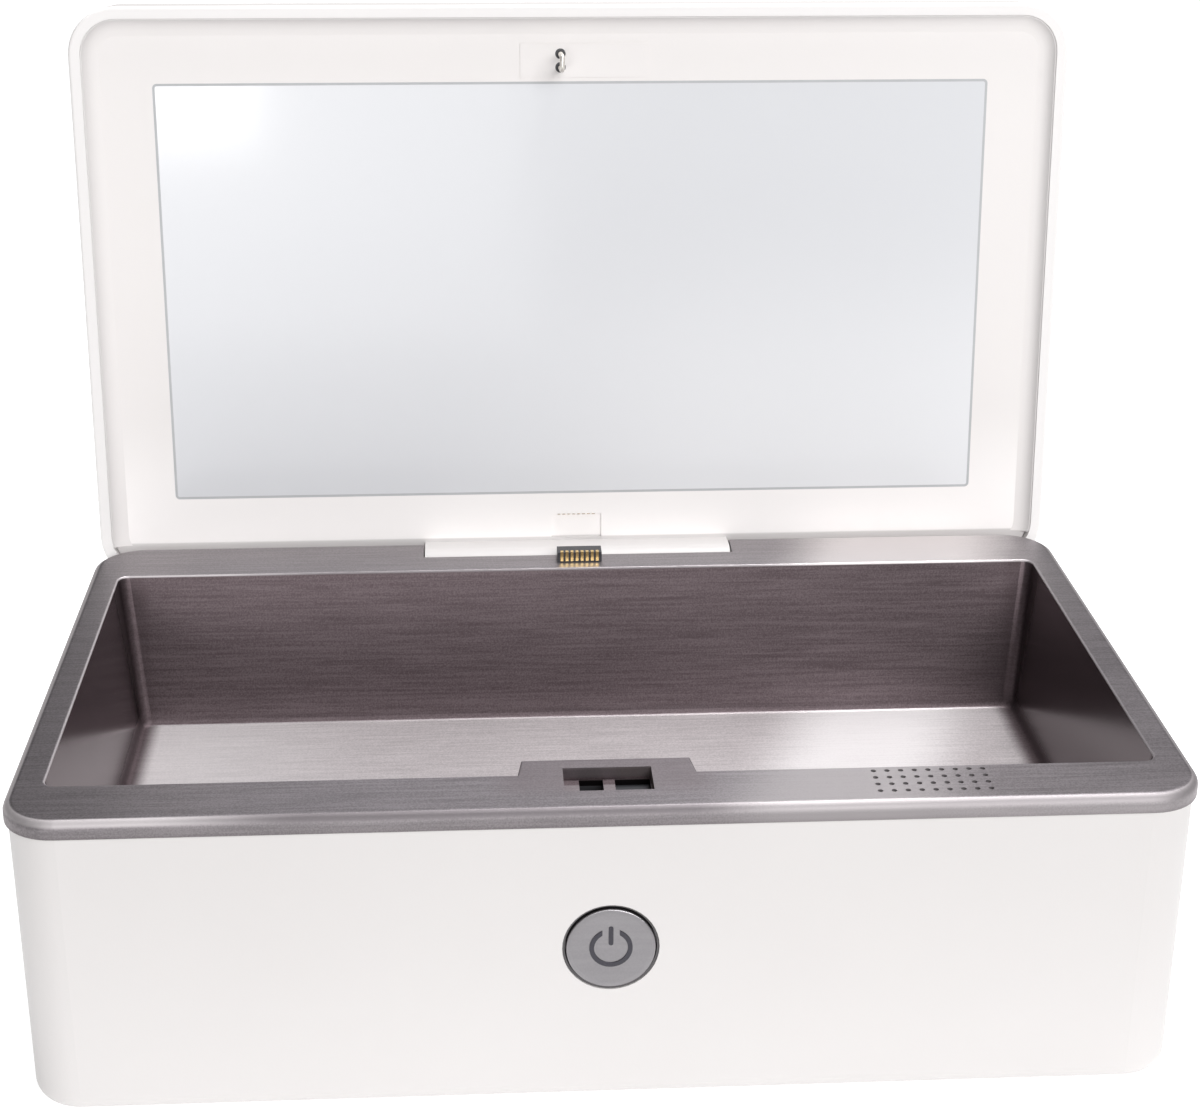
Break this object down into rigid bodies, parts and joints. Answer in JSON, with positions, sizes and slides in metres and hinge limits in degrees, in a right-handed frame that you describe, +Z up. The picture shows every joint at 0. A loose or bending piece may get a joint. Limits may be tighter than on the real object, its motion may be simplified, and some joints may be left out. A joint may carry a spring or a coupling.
{
  "type": "uv sterilizer",
  "caption": "Desktop ultraviolet sterilizer box: white body with a silver-lined chamber, push button, latch pocket, grille and a hinged lid that holds a glazed lamp panel, shown open.",
  "frame": {"origin": "on the table plane, under the middle of the box round the open part", "axes": "+X to the right as seen by the user, +Y to the back where the hinge is, +Z up"},
  "size_m": [0.24, 0.1746, 0.2022],
  "materials": {
    "white_shell": "satin white moulding",
    "silver_tub": "fine-grained satin metal",
    "white_frame": "smooth pale moulding",
    "window_glass": "frosted from behind, glossy in front",
    "grey_gasket": "matt",
    "dark_plastic": "matt",
    "silver_button": "satin metallic coating",
    "symbol_ink": "smooth",
    "dark_rubber": "matt",
    "steel": "bright",
    "latch_brass": "bright",
    "contact_gold": "bright",
    "circuit_green": "lacquered",
    "chip_black": "matt",
    "lamp_white": "clear coated",
    "bright_reflector": "polished",
    "spreader_metal": "plain",
    "cell_sleeve": "sleeved",
    "grey_felt": "felt",
    "ribbon_film": "smooth film"
  },
  "bodies": {
    "base": {"chamber_tub": "silver_tub", "body_shell": "white_shell", "base_cover": "white_shell", "base_feet": "dark_rubber", "cover_screws": "steel", "button_collar": "dark_plastic", "button_spring": "steel", "button_switch": "chip_black", "switch_board": "circuit_green", "button_bracket": "dark_plastic", "bracket_screws": "steel", "latch_housing": "dark_plastic", "latch_spring": "steel", "latch_screws": "steel", "sounder": "dark_plastic", "sounder_cone": "chip_black", "sounder_felt": "grey_felt", "sounder_clamp": "steel", "clamp_screws": "steel", "contact_block": "dark_plastic", "contact_fingers": "contact_gold", "base_ribbon": "ribbon_film", "switch_lead": "ribbon_film", "hinge_bushes": "latch_brass", "control_board": "circuit_green", "board_screws": "steel", "board_parts": "chip_black", "socket_shell": "steel", "socket_tongue": "dark_plastic", "battery_holder": "dark_plastic", "battery_cells": "cell_sleeve", "cell_contacts": "steel"},
    "lid": {"lid_shell": "white_shell", "lid_frame": "white_frame", "lid_window": "window_glass", "window_gasket": "grey_gasket", "lid_striker": "steel", "lid_contacts": "contact_gold", "lid_ribbon": "ribbon_film", "reflector": "bright_reflector", "reflector_screws": "steel", "lamp_board": "circuit_green", "uv_lamps": "lamp_white", "heat_spreader": "spreader_metal", "lamp_screws": "steel", "hinge_pins": "steel"},
    "button": {"start_button": "silver_button", "button_symbol": "symbol_ink"},
    "latch_slider": {"latch_bolt": "latch_brass"}
  },
  "joints": [
    {"name": "lid_hinge", "type": "hinge", "parent": "base", "child": "lid", "pos_m": [0, 0.0498, 0.0663], "axis": [1, 0, 0], "range_deg": [0, 95.75]},
    {"name": "button_press", "type": "slide", "parent": "base", "child": "button", "axis": [0, 1, 0], "range_m": [0, 0.0008], "stiffness_N_per_m": 500, "springref_m": -0.002, "deforming": ["button_spring"]},
    {"name": "latch_slide", "type": "slide", "parent": "base", "child": "latch_slider", "axis": [1, 0, 0], "range_m": [0, 0.003], "stiffness_N_per_m": 300, "springref_m": -0.003, "deforming": ["latch_spring"]}
  ]
}
